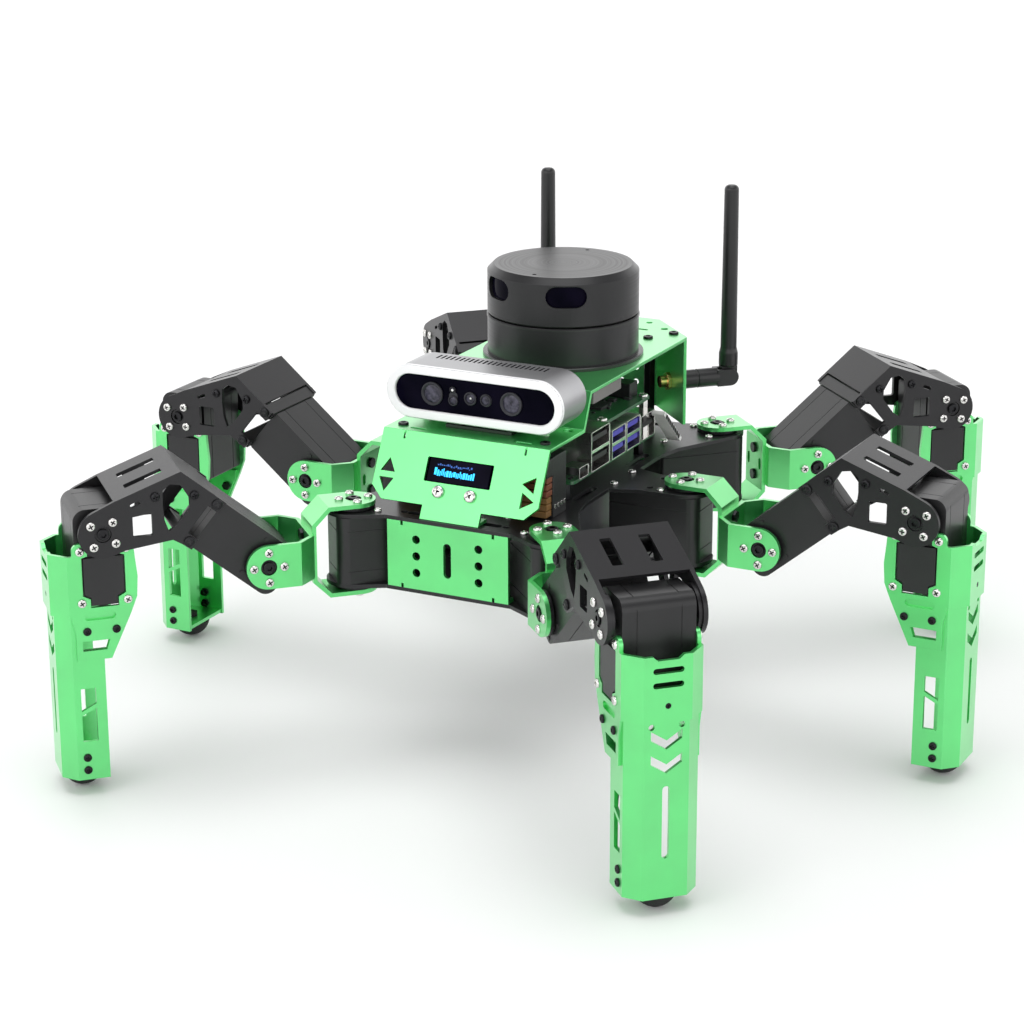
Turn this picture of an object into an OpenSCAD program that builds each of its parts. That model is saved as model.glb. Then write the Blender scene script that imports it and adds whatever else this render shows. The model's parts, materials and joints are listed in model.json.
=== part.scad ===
// Six-legged walking robot: sheet-metal body, eighteen leg servos, a scanning
// lidar, a depth camera and two folding antennas.
// +X is the robot's left, -Y its front, +Z up. The origin is on the floor,
// midway between the six hips.

/* [Stance] */
// Height of every hip servo's middle above the floor
hip_z = 102; // [98:1:110]
// Sideways place of the front and rear hips
corner_hip_x = 51; // [50:0.5:54]
// Fore and aft place of the front and rear hips
corner_hip_y = 94.5; // [92:0.5:98]
// Sideways place of the middle hips
middle_hip_x = 75; // [74:0.5:80]

/* [Legs] */
// Yaw axis to pitch axis
coxa_length = 45.7; // [45:0.1:50]
// Pitch axis to knee axis
femur_length = 78; // [77:0.5:80]
// Climb of the line from pitch axis to knee axis, in degrees
femur_rise = 17.7; // [16:0.1:19]
// Tilt of the upper leg's servo above the horizontal, in degrees
femur_servo_tilt = 39.7; // [38:0.1:41]
// Outward place of the foot's middle from the knee axis
foot_reach = 11; // [10:0.5:12]
// Radius of the rubber foot
foot_r = 9.6; // [8:0.1:10]

/* [Servos] */
// Length of the servo case
servo_l = 45.2; // [44:0.1:46]
// Width of the servo case
servo_w = 24.7; // [24:0.1:25]
// Half of the servo case's thickness
servo_half = 16; // [15:0.1:16]
// Output axis to the near end of the case
servo_near = 10.5; // [10:0.1:10.5]
// Radius of the round horn disc
horn_r = 10.1; // [9:0.1:10.2]

/* [Sheet metal] */
// Thickness of the bent brackets
sheet = 2; // [1.5:0.1:2]
// Thickness of the leg shells
shell_t = 1.75; // [1.5:0.05:1.75]
// Thickness of the chassis plates
plate_t = 1.8; // [1.5:0.1:1.8]
// Half of the outer width of every fork
fork_half = 21.8; // [21.7:0.1:22]
// Width of the bent bracket strips
strip_w = 20.6; // [20:0.1:21]

/* [Deck] */
// Half of the deck's width
deck_half = 42.5; // [40:0.5:44]
// Height of the deck's top face
deck_z = 171.8; // [170:0.1:174]
// Height of the camera ledge
ledge_z = 155.2; // [154:0.1:157]
// Backward lean of the display panel, in degrees
panel_lean = 26.6; // [24:0.1:28]

/* [Sensors] */
// Diameter of the lidar
lidar_d = 72.8; // [70:0.1:73]
// Width of the depth camera
camera_w = 90; // [88:1:90]
// Height and depth of the depth camera
camera_h = 25; // [24:0.5:25]

/* [Antennas] */
// Length of the stalk above its fold
stalk_l = 97.4; // [80:0.1:110]

/* [Hidden] */
// [name, hip x, hip y, heading] of each leg
LEGS = [
    ["front_left", corner_hip_x, -corner_hip_y, -45],
    ["mid_left", middle_hip_x, 0, 0],
    ["rear_left", corner_hip_x, corner_hip_y, 45],
    ["front_right", -corner_hip_x, -corner_hip_y, -135],
    ["mid_right", -middle_hip_x, 0, 180],
    ["rear_right", -corner_hip_x, corner_hip_y, 135]
];
LEG_PIECES = ["coxa_bracket", "coxa_horns", "femur_servo", "femur_frame",
              "knee_servo", "tibia_shell", "foot"];
BODY_PIECES = ["chassis_top_plate", "chassis_bottom_plate", "end_panels", "hip_servos",
               "upper_deck", "deck_hardware", "computer_board", "battery_pack",
               "display_module", "camera_mount", "depth_camera", "lidar_base",
               "lidar_head", "antenna_connectors", "antenna_left_elbow",
               "antenna_right_elbow", "antenna_left", "antenna_right"];
$fn = 48;

// fits and clearances
run_fit = 0.06;         // radial play of every turning shaft
gap = 0.3;              // air between pieces that move past each other
seat = 0.02;            // air between separate pieces that are screwed together

// stack along a joint axis, measured from the leg's middle plane
fork_in = fork_half - sheet;
horn_z = servo_half + plate_t + gap;
face_half = servo_half + 1.3;       // raised face of the gearbox
shaft_r = 3;
screw_r = 1.2;
hole_r = 1.4;
head_r = 1.9;                        // heads of the small silver screws
horn_pcd_r = 7;
fork_bevel = 8;
web_r = 22.5;                       // yaw axis to the joint of the two coxa brackets

// knee axis from the pitch axis, and the knee's height
knee_r = femur_length * cos(femur_rise);
knee_up = femur_length * sin(femur_rise);
knee_h = hip_z + knee_up;

// chassis levels
plate_top = hip_z + servo_half + plate_t;
panel_y = 98.9;                     // outer face of the end panels
panel_half = 31;                    // half width of the end panels
hip_end_r = 13.2;                   // plate's round end about each yaw axis

// deck
deck_t = 1.6;
ledge_front = -79.6;
ledge_rear = -43.9;
deck_front = -36.4;
deck_side_y = 74;                   // where the 45 degree rear corners start
deck_corner = 26.5;
deck_rear = deck_side_y + deck_corner;
deck_wall_z = 127;                  // lower edge of the rear walls
wing_drop = 33;                     // display panel, down its slope
tongue_half = 15;
foot_y = ledge_front - (ledge_z - plate_top) * tan(panel_lean);   // where the tongue lands
tongue_drop = (ledge_z - plate_top) / cos(panel_lean) + 1;
wing_cut = 6;

// sensors
lidar_y = 21.8;
lidar_seam = 192.3;
lidar_top = 216;
lidar_flange_r = 38.6;
camera_z = 171.5;
camera_front = -71.8;

// antennas: the connector leaves the diagonal corner wall
wall_mid = [(deck_half + deck_half - deck_corner) / 2, (deck_side_y + deck_rear) / 2];
antenna_z = 144.8;
fold_out = 30;                      // wall to fold axis, along the diagonal
elbow_r = 4.7;
tongue_t = 4;                       // thickness of the stalk's foot
pin_r = 1.2;

// ---------- outlines and helpers ----------

function arc(c, r, a0, a1, n = 8) =
    [for (i = [0:n]) let (a = a0 + (a1 - a0) * i / n) c + r * [cos(a), sin(a)]];
function unit(v) = v / norm(v);
function left_of(v) = [-v[1], v[0]];
function miter(p, i, t) =
    let (a = unit(i == 0 ? p[1] - p[0] : p[i] - p[i - 1]),
         b = i == len(p) - 1 ? a : unit(p[i + 1] - p[i]),
         n = unit(left_of(a) + left_of(b)))
    p[i] + n * t / (n * left_of(a));
// outline of a bent sheet: a path and the same path one thickness to its left
function bent_sheet(p, t) =
    concat(p, [for (i = [len(p) - 1:-1:0]) miter(p, i, t)]);
function channel(back, front, half, bevel, t) =
    bent_sheet([[back, -half], [front - bevel, -half], [front, bevel - half],
                [front, half - bevel], [front - bevel, half], [back, half]], t);
function rounded(x0, x1, y0, y1, r, n = 6) =
    concat(arc([x1 - r, y1 - r], r, 0, 90, n), arc([x0 + r, y1 - r], r, 90, 180, n),
           arc([x0 + r, y0 + r], r, 180, 270, n), arc([x1 - r, y0 + r], r, 270, 360, n));
function slot(l, w) =
    concat(arc([(l - w) / 2, 0], w / 2, -90, 90), arc([(w - l) / 2, 0], w / 2, 90, 270));
function on_servo(u, v) =
    [u * cos(femur_servo_tilt) - v * sin(femur_servo_tilt),
     u * sin(femur_servo_tilt) + v * cos(femur_servo_tilt)];
function mirrored(points) =
    [for (i = [len(points) - 1:-1:0]) [-points[i][0], points[i][1]]];

// a plan drawn in (x, z), as thick as w along y
module across(w) rotate([90, 0, 0]) linear_extrude(w, center = true) children();
// a plan drawn in (y, z), as wide as w along x
module along_x(w) rotate([90, 0, 90]) linear_extrude(w, center = true) children();
// both flat sides of a leg: a plan in (x, z), from y0 outwards by t
module both_sides(y0, t)
    for (s = [0, 1]) mirror([0, s, 0])
        translate([0, y0 + t, 0]) rotate([90, 0, 0]) linear_extrude(t) children();
module at_corners(x, y) for (i = [-1, 1], j = [-1, 1]) translate([i * x, j * y, 0]) children();
module on_leg(leg) translate([leg[1], leg[2], 0]) rotate([0, 0, leg[3]]) children();
module on_pitch() translate([coxa_length, 0, hip_z]) children();
module on_knee() translate([coxa_length + knee_r, 0, knee_h]) children();
// both ends of a joint axis along y: drawn on z, with y up
module on_y_axis() for (s = [0, 1]) mirror([0, s, 0]) rotate([90, 0, 0]) children();
module on_z_axis() for (s = [0, 1]) mirror([0, 0, s]) children();
module on_horn_screws(turn = 0)
    for (i = [0:3]) rotate([0, 0, turn + i * 90]) translate([horn_pcd_r, 0, 0]) children();

// ---------- servos ----------

// case lying along x from its output axis, thickness along y
module servo_case(half) {
    seam = 0.35;
    seam_y = 9.5;
    near_round = 5.5;
    outline = rounded(-servo_near, servo_l - servo_near, -servo_w / 2, servo_w / 2, 1.6);
    inner = rounded(-servo_near + 0.3, servo_l - servo_near - 0.3,
                    -servo_w / 2 + 0.3, servo_w / 2 - 0.3, 1.6);
    near = concat(arc([near_round - servo_near, servo_w / 2 - near_round], near_round, 90, 180),
                  arc([near_round - servo_near, near_round - servo_w / 2], near_round, 180, 270),
                  [[servo_l, -servo_w / 2], [servo_l, servo_w / 2]]);
    intersection() {
        union() {
            across(2 * seam_y) polygon(outline);
            across(2 * seam_y + 2 * seam) polygon(inner);
            both_sides(seam_y + seam, half - seam_y - seam) polygon(outline);
        }
        across(3 * half) polygon(near);
    }
}
// output boss and shaft on both faces, axis along y
module servo_shafts(half) on_y_axis() {
    translate([0, 0, half - 1]) cylinder(r = 5, h = horn_z - gap - half + 1);
    translate([0, 0, half - 1]) cylinder(r = shaft_r, h = horn_z - half + 2.3);
}
// small case screws, axis along y
module case_screws(half, x, z)
    on_y_axis() at_corners(x, z) translate([0, 0, half - 1]) cylinder(r = 1.1, h = 1.4);

// disc that a shaft turns, its boss, and the screws through the fork; axis z
module horn(turn = 0) difference() {
    union() {
        translate([0, 0, horn_z]) cylinder(r = horn_r, h = fork_in - seat - horn_z);
        translate([0, 0, horn_z]) cylinder(r = 3.5, h = fork_half - 0.6 - horn_z);
        on_horn_screws(turn) {
            translate([0, 0, horn_z]) cylinder(r = screw_r, h = fork_half - horn_z + 0.5);
            translate([0, 0, fork_half]) cylinder(r = head_r, h = 0.9);
        }
    }
    translate([0, 0, horn_z - 1]) cylinder(r = shaft_r + run_fit, h = 2.6);
}
module horn_holes(turn = 0) {
    cylinder(r = 3.75, h = 3 * fork_half, center = true);
    on_horn_screws(turn) cylinder(r = hole_r, h = 3 * fork_half, center = true);
}

// ---------- leg ----------

// bent strip whose round ends hold the horns; joint axis z, web at x = reach
module fork_bracket(reach) difference() {
    union() {
        across(strip_w) polygon(channel(0, reach, fork_half, fork_bevel, sheet));
        for (s = [-1, 1]) translate([0, 0, s * (fork_half - sheet / 2)])
            linear_extrude(sheet, center = true)
                polygon(concat(arc([0, 0], strip_w / 2, 90, 270, 18),
                               [[1, -strip_w / 2], [1, strip_w / 2]]));
    }
    horn_holes();
    translate([reach, 0, 0]) rotate([0, 90, 0])
        for (z = [-1, 1]) {
            translate([z * 7, 0, 0]) cylinder(r = hole_r, h = 6, center = true);
            translate([0, z * 7, 0]) linear_extrude(6, center = true)
                polygon(slot(6, 2 * hole_r));
        }
}
module coxa_bracket() color("lightgreen") {
    translate([0, 0, hip_z]) fork_bracket(web_r);
    on_pitch() rotate([90, 0, 180]) fork_bracket(coxa_length - web_r);
}
module coxa_horns() color("dimgray") {
    translate([0, 0, hip_z]) on_z_axis() horn();
    on_pitch() on_y_axis() horn();
    // screws and nuts that join the two webs
    for (s = [-1, 1]) translate([web_r, 0, hip_z + s * 7]) rotate([0, 90, 0]) {
        cylinder(r = screw_r, h = 2 * sheet + 2, center = true);
        translate([0, 0, -sheet - 1.2]) cylinder(r = 2.6, h = 1.2);
        translate([0, 0, sheet]) cylinder(r = 2.9, h = 1.6, $fn = 6);
    }
}

ear_u = 38.1;                       // screw line of the servo's far ears
ear_v = 10.4;
module femur_servo() color("dimgray") on_pitch() rotate([0, -femur_servo_tilt, 0]) {
    far = servo_l - servo_near;
    servo_case(face_half);
    servo_shafts(face_half);
    for (v = [-1, 1]) translate([far - 0.5, 0, v * ear_v])
        across(2 * (fork_in - seat)) polygon(rounded(0, 6.6, -2.4, 2.4, 0.8));
    translate([ear_u, 0, 0]) on_y_axis() for (v = [-1, 1]) translate([0, v * ear_v, fork_in - 1]) {
        cylinder(r = screw_r, h = sheet + 1.5);
        translate([0, 0, sheet + 1]) cylinder(r = 2.4, h = 0.9);
    }
    case_screws(face_half, 7.4, 9.3);
}

knee_disc_r = 11.1;
frame_bolts = [[50.5, 38.8], [32.9, 37.8]];
web_t = 1.5;                        // web of the frame, short of the knee servo's sweep
web_corner = on_servo(61.2, 13.3);
web_end = web_corner + 32.3 * [cos(20), -sin(20)];
knee_turn = 39;                     // turn of the knee's horn screws
module femur_frame() color("dimgray") on_pitch() {
    knee = [knee_r, knee_up];
    plate = concat([on_servo(34.9, 13.2), on_servo(34.9, 7.5), on_servo(41.2, 7.5),
                    on_servo(41.2, -7.5), on_servo(34.9, -7.5), on_servo(34.9, -12.8),
                    [38.9, 15.4], [43.2, 18], [64.6, 15.3]],
                   arc(knee, knee_disc_r, -110, 65, 20),
                   [web_end, web_corner]);
    difference() {
        union() {
            both_sides(fork_in, sheet) polygon(plate);
            across(2 * fork_half - 1) polygon(
                bent_sheet([web_end, web_corner, on_servo(41.2, 13.3)], web_t));
        }
        // lightening windows in the side plates
        across(3 * fork_half) polygon([[47, 41.3], [43.6, 43.9], [38.9, 43.1], [35.2, 36.8],
                                       [35.1, 32.3], [40.7, 25], [44.8, 22.2], [46.6, 27.5],
                                       [47.2, 34.5]]);
        across(3 * fork_half) polygon(rounded(52.2, 60.9, 21.2, 31, 0.8));
        translate([59.4, 0, 36.2]) rotate([0, 20, 0]) across(3 * fork_half) polygon(slot(5, 1.7));
        for (p = frame_bolts) translate([p[0], 0, p[1]]) rotate([90, 0, 0])
            cylinder(r = 1.4, h = 3 * fork_half, center = true);
        translate([ear_u * cos(femur_servo_tilt), 0, ear_u * sin(femur_servo_tilt)])
            rotate([0, -femur_servo_tilt, 0]) for (v = [-1, 1]) translate([0, 0, v * ear_v])
                rotate([90, 0, 0]) cylinder(r = hole_r, h = 3 * fork_half, center = true);
        // two long slots in the sloping web
        translate([web_corner[0], 0, web_corner[1]]) rotate([0, 20, 0])
            for (y = [-8.6, 8.6]) translate([0, y, -4]) linear_extrude(8)
                polygon(rounded(6.8, 24.8, -2.5, 2.5, 0.6));
        translate([knee_r, 0, knee_up]) on_y_axis() horn_holes(knee_turn);
    }
    translate([knee_r, 0, knee_up]) on_y_axis() horn(knee_turn);
}

shell_out = servo_half + shell_t;
low_step = 1.35;                    // how much narrower the lower shell is
shell_front = 23.5;
shell_bottom = -117.7;
tab = [10.3, 8.2];                  // upper screws of the knee servo, from the axis
low_tab = [10.3, 32.4];
module knee_servo() color("dimgray") on_knee() {
    rotate([0, 90, 0]) servo_case(servo_half);
    rotate([0, 90, 0]) servo_shafts(servo_half);
    // raised face in the shell's opening
    both_sides(servo_half - 1, face_half + 0.2 - servo_half + 1)
        polygon([[8.9, -11.8], [8.9, -28.6], [5.9, -30.4], [5.9, -34.2], [-5.9, -34.2],
                 [-5.9, -30.4], [-8.9, -28.6], [-8.9, -11.8]]);
    on_y_axis() for (p = [tab, low_tab], s = [-1, 1]) {
        translate([s * p[0], -p[1], servo_half - 1]) cylinder(r = screw_r, h = shell_t + 1.5);
        translate([s * p[0], -p[1], shell_out]) cylinder(r = head_r, h = 0.9);
    }
}
// the tibia is an upper shell about the servo, lapped over a lower one
module tibia_shell() color("lightgreen") on_knee() {
    step_z = -39.1;                 // lower edge of the upper shell's front
    lap_z = -59.7;                  // lower edge of its side plates
    rear_x = 1.2;                   // rear edge of the lower shell
    side = concat([[shell_front + 1, -10.4], [tab[0] + 3.6, -10.4]],
                  arc([tab[0], -tab[1]], 3.6, 0, 180, 10),
                  arc([-tab[0], -tab[1]], 3.6, 0, 180, 10),
                  [[-14.4, -14], [-15.2, -22], [-14.6, -31.5], [-11.6, -39], [-2, lap_z],
                   [13.6, lap_z], [13.6, -47], [15.4, step_z], [shell_front + 1, step_z]]);
    difference() {
        union() {
            difference() {
                intersection() {
                    translate([0, 0, -70]) linear_extrude(70)
                        polygon(channel(-20, shell_front, shell_out, 7.35, shell_t));
                    across(60) polygon(side);
                }
                // slot that ends at the lower shell behind it
                translate([2.4, 0, -39.2]) across(60) polygon(slot(14, 3.4));
            }
            translate([0, 0, shell_bottom]) linear_extrude(step_z + 2 - shell_bottom)
                polygon(channel(rear_x, shell_front - low_step, shell_out - low_step,
                                6.5, shell_t));
            // rear wings of the lower shell, behind the upper side plates
            both_sides(shell_out - low_step - shell_t, shell_t)
                polygon([[rear_x + 1, step_z + 2], [-10, step_z + 2], [-10, -41],
                         [-1.6, -58.6], [rear_x + 1, -58.6]]);
            // floor that carries the foot
            translate([rear_x + 0.6, low_step - servo_half, shell_bottom + 0.6])
                cube([shell_front - low_step - rear_x - 1.6, 2 * (servo_half - low_step),
                      shell_t]);
        }
        // servo opening, screw holes and windows of the side plates
        across(60) polygon([[9.65, -11.4], [9.65, -29.2], [6.3, -31], [6.3, -35], [-6.3, -35],
                            [-6.3, -31], [-9.65, -29.2], [-9.65, -11.4], [-7, -10.6], [-7, 10],
                            [7, 10], [7, -10.6]]);
        for (p = [tab, low_tab], s = [-1, 1]) translate([s * p[0], 0, -p[1]])
            rotate([90, 0, 0]) cylinder(r = hole_r, h = 60, center = true);
        for (p = [[-4.6, -46], [8.6, -46], [11.2, -107], [11.2, -113]])
            translate([p[0], 0, p[1]]) rotate([90, 0, 0])
                cylinder(r = 1.4, h = 60, center = true);
        across(60) polygon([[-1.5, -50.6], [10.8, -50.6], [10.8, -55.3], [0, -55.3]]);
        across(60) polygon([[5.9, -73.6], [12.7, -73.6], [12.7, -84.6], [5.9, -81.2]]);
        across(60) polygon([[5.9, -83.2], [12.7, -86.6], [12.7, -99.2], [5.9, -99.2]]);
        // openings of the front face, plan drawn in (y, z)
        translate([shell_front, 0, 0]) {
            for (z = [-16.7, -22.9]) translate([0, 0, z]) along_x(12) polygon(slot(13.4, 2.5));
            for (p = [[0, -32], [6.6, -41.2], [-6.6, -41.2]]) translate([0, p[0], p[1]])
                rotate([0, 90, 0]) cylinder(r = 1.3, h = 12, center = true);
            for (z = [-47.5, -58]) translate([0, 0, z])
                along_x(12) polygon([[-6.8, 4.4], [0, 0], [6.8, 4.4], [6.8, 0.4],
                                     [0, -4], [-6.8, 0.4]]);
            translate([0, 0, -83.7]) along_x(12) polygon([for (p = slot(32.2, 3.2)) [p[1], p[0]]]);
            // shallow dip in the top edge
            translate([0, 0, -10.4]) along_x(12)
                polygon([[-6.6, 1], [-6.6, -0.2], [-4.6, -1.9], [4.6, -1.9], [6.6, -0.2], [6.6, 1]]);
        }
        translate([foot_reach, 0, shell_bottom]) cylinder(r = 2.2, h = 6, center = true);
    }
}
module foot() color("black") translate([coxa_length + knee_r + foot_reach, 0, 0]) {
    flange_z = knee_h + shell_bottom;
    intersection() {
        translate([0, 0, foot_r]) sphere(r = foot_r, $fn = 64);
        cylinder(r = foot_r + 1, h = flange_z);
    }
    translate([0, 0, foot_r / 2]) cylinder(r = 2, h = flange_z + 4.6 - foot_r / 2);
    translate([0, 0, flange_z + 0.6 + shell_t]) cylinder(r = 3.6, h = 2, $fn = 6);
}

// ---------- chassis ----------

// quarter of the chassis plan, front half in -y, from the end panel round to the middle hip
quarter = concat([[panel_half + 1, -panel_y]],
                 arc([corner_hip_x, -corner_hip_y], hip_end_r, -125, 35, 18),
                 [[46, -57], [43, -42], [43, -18], [57, -hip_end_r]],
                 arc([middle_hip_x, 0], hip_end_r, -90, 0, 10));
function turned(points) = [for (i = [len(points) - 1:-1:0]) [points[i][0], -points[i][1]]];
right_side = concat(quarter, turned(quarter));
module chassis_plan() difference() {
    polygon(concat(right_side, mirrored(right_side)));
    for (leg = LEGS) translate([leg[1], leg[2]]) circle(r = 9);
    // lightening slots and fixing holes
    at_corners(36.5, 30) rotate(90) polygon(slot(22, 4));
    at_corners(17, 91) polygon(slot(14, 4));
    at_corners(26, 91) circle(r = 1.6);
    at_corners(24.5, 49) circle(r = 1.6);
    at_corners(60, 8) circle(r = 1.6);
    square([22, 60], center = true);
}
module chassis_top_plate() color("dimgray")
    translate([0, 0, hip_z + servo_half]) linear_extrude(plate_t) chassis_plan();
module chassis_bottom_plate() color("dimgray")
    translate([0, 0, hip_z - servo_half - plate_t]) linear_extrude(plate_t) chassis_plan();

end_hole_x = 16;                    // bolt pattern of the end panels
end_hole_z = 8;
end_flange = 5.5;                   // depth of the folds that meet the two plates
module end_panels() color("lightgreen") for (s = [0, 1]) mirror([0, s, 0]) difference() {
    rotate([90, 0, 90]) translate([0, hip_z, 0]) linear_extrude(2 * panel_half, center = true)
        polygon(bent_sheet([[end_flange - panel_y, -servo_half], [-panel_y, -servo_half],
                            [-panel_y, servo_half], [end_flange - panel_y, servo_half]],
                           -sheet));
    translate([0, -panel_y, hip_z]) {
        for (z = [-1, 0, 1], x = [-1, 1]) translate([x * end_hole_x, 0, z * end_hole_z])
            rotate([90, 0, 0]) cylinder(r = 2, h = 10, center = true);
        across(10) polygon([for (p = slot(16.6, 3.9)) [p[1], p[0]]]);
        // relief slots in the folds
        for (z = [-1, 1], x = [-1, 1]) translate([x * 23.4, 0, z * servo_half])
            cube([1.2, 10, 4], center = true);
    }
}
module hip_servos() color("dimgray") for (leg = LEGS) on_leg(leg)
    translate([0, 0, hip_z]) rotate([90, 0, 180]) {
        servo_case(servo_half);
        servo_shafts(servo_half);
    }

// ---------- deck ----------

rear_holes = [26, 10, 74];          // half spacings and middle y of the deck's four holes
// frame on the display panel: y up its slope, z out of its face
module on_panel() translate([0, ledge_front, ledge_z]) rotate([90 - panel_lean, 0, 0]) children();
module triangle(r, turn) rotate(turn) circle(r = r, $fn = 3);
module deck_plan() polygon([[-deck_half, ledge_front], [deck_half, ledge_front],
                            [deck_half, deck_side_y], [deck_half - deck_corner, deck_rear],
                            [deck_corner - deck_half, deck_rear], [-deck_half, deck_side_y]]);
module display_panel() on_panel() translate([0, 0, -deck_t]) linear_extrude(deck_t)
    difference() {
        polygon([[-deck_half, 0], [-deck_half, wing_cut - wing_drop],
                 [wing_cut - deck_half, -wing_drop], [-tongue_half, -wing_drop],
                 [-tongue_half, -tongue_drop], [tongue_half, -tongue_drop],
                 [tongue_half, -wing_drop], [deck_half - wing_cut, -wing_drop],
                 [deck_half, wing_cut - wing_drop], [deck_half, 0]]);
        polygon(rounded(-16.9, 16.9, -21.9, -10.6, 0.6));
        for (x = [-1, 1]) translate([x * 8.2, -26.2]) circle(r = 1.6);
        translate([-36, -17.8]) triangle(4.3, 90);
        translate([-36, -25]) triangle(4.3, -90);
        translate([36.6, -17]) triangle(4.3, 180);
        translate([35.4, -24.6]) triangle(4.3, 0);
        for (x = [-1, 1]) translate([x * 31, -2]) square([1, 4], center = true);
    }
// rear wall and its two diagonal corners, bent from one sheet
module rear_wall() difference() {
    translate([0, 0, deck_wall_z]) linear_extrude(deck_z - deck_wall_z)
        polygon(bent_sheet([[deck_half, deck_side_y], [deck_half - deck_corner, deck_rear],
                            [deck_corner - deck_half, deck_rear], [-deck_half, deck_side_y]],
                           deck_t));
    for (x = [-12:8:12], z = [138.4, 146]) translate([x, deck_rear, z])
        rotate([90, 0, 0]) cylinder(r = 1.45, h = 12, center = true);
    for (s = [-1, 1]) translate([s * wall_mid[0], wall_mid[1], antenna_z])
        rotate([0, 90, s > 0 ? 45 : 135]) cylinder(r = 3.3, h = 12, center = true);
}
module upper_deck() color("lightgreen") {
    difference() {
        intersection() {
            along_x(3 * deck_half) polygon(bent_sheet(
                [[ledge_front, ledge_z], [ledge_rear, ledge_z], [deck_front, deck_z],
                 [deck_rear, deck_z]], -deck_t));
            linear_extrude(200) deck_plan();
        }
        // camera cable slot, ledge holes and slots
        translate([0, -60, ledge_z]) linear_extrude(9, center = true) {
            polygon(slot(26, 6));
            at_corners(36.5, 12) circle(r = 2.2);
            at_corners(27, 15) polygon(slot(8, 2));
            at_corners(27, 0) circle(r = 1.6);
        }
        // lidar wiring hole, lidar screws, rear fixing holes
        translate([0, lidar_y, deck_z]) linear_extrude(9, center = true) {
            circle(r = 9);
            at_corners(24, 24) circle(r = 1.3);
        }
        translate([0, rear_holes[2], deck_z]) linear_extrude(9, center = true)
            at_corners(rear_holes[0], rear_holes[1]) circle(r = 1.9);
        translate([0, deck_rear - 12, deck_z]) linear_extrude(9, center = true) {
            for (x = [-14, 0, 14]) translate([x, 4]) circle(r = 1.6);
            for (x = [-1, 1]) translate([x * 16, -10]) polygon(slot(7, 2));
        }
    }
    intersection() {
        display_panel();
        translate([-50, -150, plate_top]) cube([100, 100, 100]);
    }
    rear_wall();
    // foot folded back from the display panel's tongue
    along_x(2 * tongue_half) polygon(
        [[foot_y + 0.9, plate_top], [foot_y + 9, plate_top], [foot_y + 9, plate_top + deck_t],
         [foot_y + 1.7, plate_top + deck_t]]);
}

posts = [[30, -50, ledge_z], [18, 84, deck_z]];    // |x|, y and top of the post pairs
module deck_hardware() color("silver") for (s = [-1, 1]) {
    // hexagonal spacers from the chassis to the ledge and the deck
    for (p = posts) translate([s * p[0], p[1], plate_top])
        cylinder(r = 3, h = p[2] - deck_t - plate_top, $fn = 6);
    // short spacers under the computer board
    for (y = [-42, 40]) translate([s * 32, y, plate_top])
        cylinder(r = 2.6, h = board_z - plate_top, $fn = 6);
}

board_z = plate_top + 8.6;          // underside of the computer board
board_top = board_z + 1.6;
module computer_board() color("seagreen") {
    translate([-38, -46, board_z]) cube([76, 94, board_top - board_z]);
    // heat sink over the processor, with its fan
    translate([-2, 6, board_top]) {
        translate([-21, -21, 0]) cube([42, 42, 4]);
        for (i = [0:8]) translate([-21 + i * 5, -21, 4]) cube([2, 42, 9]);
        translate([-21, -21, 12]) cube([42, 42, 7]);
    }
    // port stacks along the left edge, power socket and network jack
    for (y = [-21, -5, 11]) translate([24.5, y, board_top]) cube([15, 14.4, 15.8]);
    translate([26, -34, board_top]) cube([13, 9, 11]);
    translate([22, 28, board_top]) cube([16, 16, 13.4]);
    // pin header along the right edge
    translate([-37, -30, board_top]) cube([12, 60, 6]);
    // two driver modules behind the display panel
    translate([18, -76, plate_top]) cube([22, 20, 29]);
    translate([-40, -76, plate_top]) cube([22, 20, 24]);
}
module battery_pack() color("gray") translate([0, 0, hip_z - servo_half])
    difference() {
        along_x(66) polygon(rounded(-44, 44, 0, 30, 2.5));
        for (y = [-24, 24]) translate([0, y, 30]) cube([80, 12, 1], center = true);
    }

module display_module() color("black") on_panel() {
    translate([0, 0, -deck_t]) {
        translate([-15.4, -21.3, -1.6]) cube([30.8, 10.2, 1.6 + deck_t - 0.4]);
        translate([-19, -30, -3.2]) cube([38, 26, 1.6]);
    }
    for (x = [-1, 1]) translate([x * 8.2, -26.2, -4]) {
        cylinder(r = screw_r, h = 4.5);
        translate([0, 0, 4]) cylinder(r = 2.8, h = 1);
    }
}

// ---------- sensors ----------

module stadium(w, h) polygon(concat(arc([(w - h) / 2, 0], h / 2, -90, 90, 16),
                                    arc([(h - w) / 2, 0], h / 2, 90, 270, 16)));
module camera_mount() color("dimgray") {
    low = camera_z - camera_h / 2;
    translate([0, camera_front + camera_h / 2, 0]) {
        translate([-17, -8, ledge_z]) cube([34, 16, 1.6]);
        translate([0, 0, ledge_z]) cylinder(r = 5.5, h = low - ledge_z);
        for (x = [-1, 1]) translate([x * 13, 0, ledge_z]) cylinder(r = 2.5, h = 2.8);
    }
}
module depth_camera() color("silver") translate([0, 0, camera_z]) {
    lenses = [[-21.6, 5.3], [18.9, 5.3], [-10.8, 2.2], [-1.9, 2.4], [5.9, 3]];
    difference() {
        translate([0, camera_front + camera_h / 2, 0]) across(camera_h) stadium(camera_w, camera_h);
        translate([0, camera_front, 0]) across(3) stadium(camera_w - 8, camera_h - 8);
        // cooling slots on the top
        for (i = [0:23]) translate([-27.5 + i * 2.4, camera_front + 19, camera_h / 2])
            cube([1, 6, 2], center = true);
    }
    for (lens = lenses) translate([lens[0], camera_front + 2, 0]) rotate([90, 0, 0])
        cylinder(r = lens[1], h = 1.3);
}

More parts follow.
